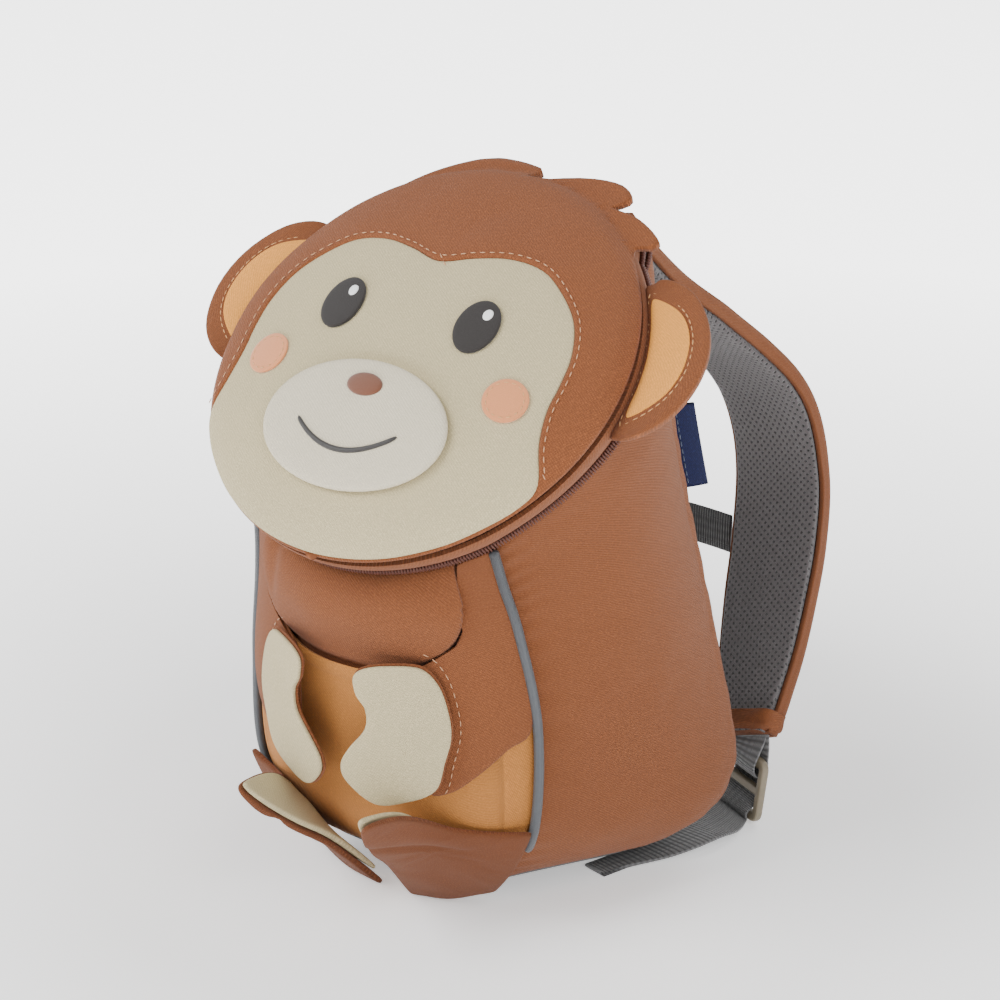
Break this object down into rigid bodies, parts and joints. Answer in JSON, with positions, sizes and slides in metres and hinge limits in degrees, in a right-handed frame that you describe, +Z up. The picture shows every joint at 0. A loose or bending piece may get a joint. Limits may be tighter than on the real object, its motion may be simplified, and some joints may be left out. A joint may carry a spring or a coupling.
{
  "type": "kids backpack",
  "caption": "Small soft backpack in the form of a sitting monkey, with a sloping domed head lid, a front pocket, padded shoulder straps and a chest strap.",
  "frame": {"origin": "middle of the bounding box on the floor that the bag stands on", "axes": "+Z up, -Y to the face and belly, +Y to the padded back and the shoulder straps, +X to the bag's right as seen from the front"},
  "size_m": [0.1918, 0.2356, 0.24],
  "materials": {
    "brown_twill": "matte",
    "beige_twill": "matte",
    "cream_twill": "matte",
    "apricot_twill": "matte",
    "grey_spacer_mesh": "matte",
    "grey_webbing": "matte",
    "reflective_cord": "matte",
    "zip_brown": "matte",
    "khaki_plastic": "matte",
    "black_cloth": "matte",
    "navy_tab": "matte"
  },
  "bodies": {
    "root": {"arm_left": "brown_twill", "arm_right": "brown_twill", "back_panel": "grey_spacer_mesh", "belly_pocket": "apricot_twill", "bottom_panel": "grey_webbing", "cheek_left": "apricot_twill", "cheek_right": "apricot_twill", "chest_clip": "khaki_plastic", "chest_strap_left": "black_cloth", "chest_strap_right": "black_cloth", "ear_left": "brown_twill", "ear_right": "brown_twill", "eye_left": "black_cloth", "eye_right": "black_cloth", "face_patch": "beige_twill", "front_panel": "brown_twill", "hand_left": "beige_twill", "hand_right": "beige_twill", "head_panel": "brown_twill", "inner_ear_left": "apricot_twill", "inner_ear_right": "apricot_twill", "ladder_lock_left": "khaki_plastic", "ladder_lock_right": "khaki_plastic", "leg_left": "brown_twill", "leg_right": "brown_twill", "lid_band": "brown_twill", "lid_hinge": "brown_twill", "muzzle": "cream_twill", "nose": "brown_twill", "piping_left": "reflective_cord", "piping_right": "reflective_cord", "side_panel_left": "brown_twill", "side_panel_right": "brown_twill", "side_tab": "navy_tab", "smile": "black_cloth", "sole_left": "beige_twill", "sole_right": "beige_twill", "strap_left": "brown_twill", "strap_mesh_left": "grey_spacer_mesh", "strap_mesh_right": "grey_spacer_mesh", "strap_right": "brown_twill", "webbing_left": "grey_webbing", "webbing_right": "grey_webbing", "zip_band": "zip_brown", "zip_slider": "khaki_plastic"}
  },
  "joints": []
}
